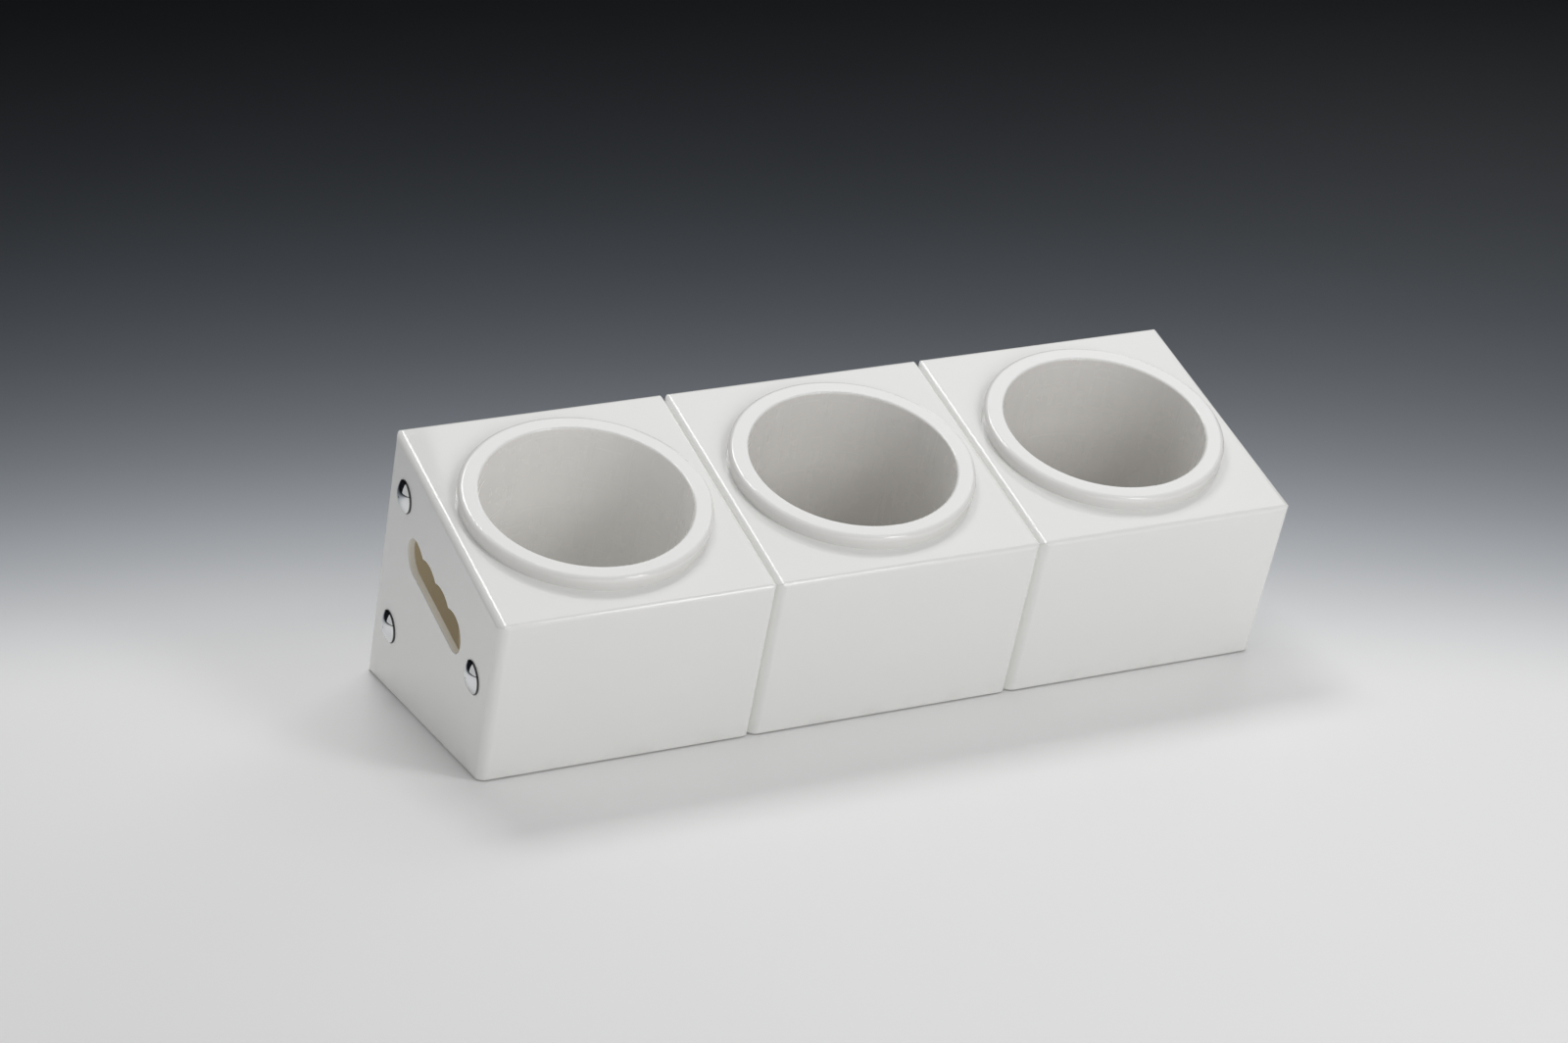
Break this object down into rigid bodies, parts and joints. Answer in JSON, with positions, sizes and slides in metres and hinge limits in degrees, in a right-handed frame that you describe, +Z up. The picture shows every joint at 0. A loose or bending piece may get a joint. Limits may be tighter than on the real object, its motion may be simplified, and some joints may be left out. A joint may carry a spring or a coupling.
{
  "type": "cutlery stand",
  "caption": "Countertop cutlery stand: a row of forward-leaning housings with sloped tops, each with a flanged beaker that lifts out, and scalloped grip slots in the ends.",
  "frame": {"origin": "on the resting surface, under the middle of the stand's bounding box", "axes": "+X along the row of housings, to the right of a person facing the front; the front faces -Y; +Z up"},
  "size_m": [0.5034, 0.229, 0.1698],
  "materials": {
    "housing": "glossy moulded white",
    "beaker": "glossy moulded white",
    "feet": "matt black",
    "domed_bolts": "polished",
    "inner_fasteners": "plain zinc"
  },
  "bodies": {
    "stand": {"housing_left": "housing", "housing_middle": "housing", "housing_right": "housing", "feet_left": "feet", "feet_middle": "feet", "feet_right": "feet", "end_bolts_left": "domed_bolts", "end_bolts_right": "domed_bolts", "end_washers_left": "inner_fasteners", "end_washers_right": "inner_fasteners", "end_nuts_left": "inner_fasteners", "end_nuts_right": "inner_fasteners", "joining_bolts_left": "inner_fasteners", "joining_bolts_right": "inner_fasteners", "joining_washers_left": "inner_fasteners", "joining_washers_right": "inner_fasteners", "joining_nuts_left": "inner_fasteners", "joining_nuts_right": "inner_fasteners"},
    "left_beaker": {"beaker_left": "beaker"},
    "middle_beaker": {"beaker_middle": "beaker"},
    "right_beaker": {"beaker_right": "beaker"}
  },
  "joints": [
    {"name": "left_beaker_lift", "type": "slide", "parent": "stand", "child": "left_beaker", "axis": [0, -0.3584, 0.9336], "range_m": [0, 0.13]},
    {"name": "middle_beaker_lift", "type": "slide", "parent": "stand", "child": "middle_beaker", "axis": [0, -0.3584, 0.9336], "range_m": [0, 0.13]},
    {"name": "right_beaker_lift", "type": "slide", "parent": "stand", "child": "right_beaker", "axis": [0, -0.3584, 0.9336], "range_m": [0, 0.13]}
  ]
}
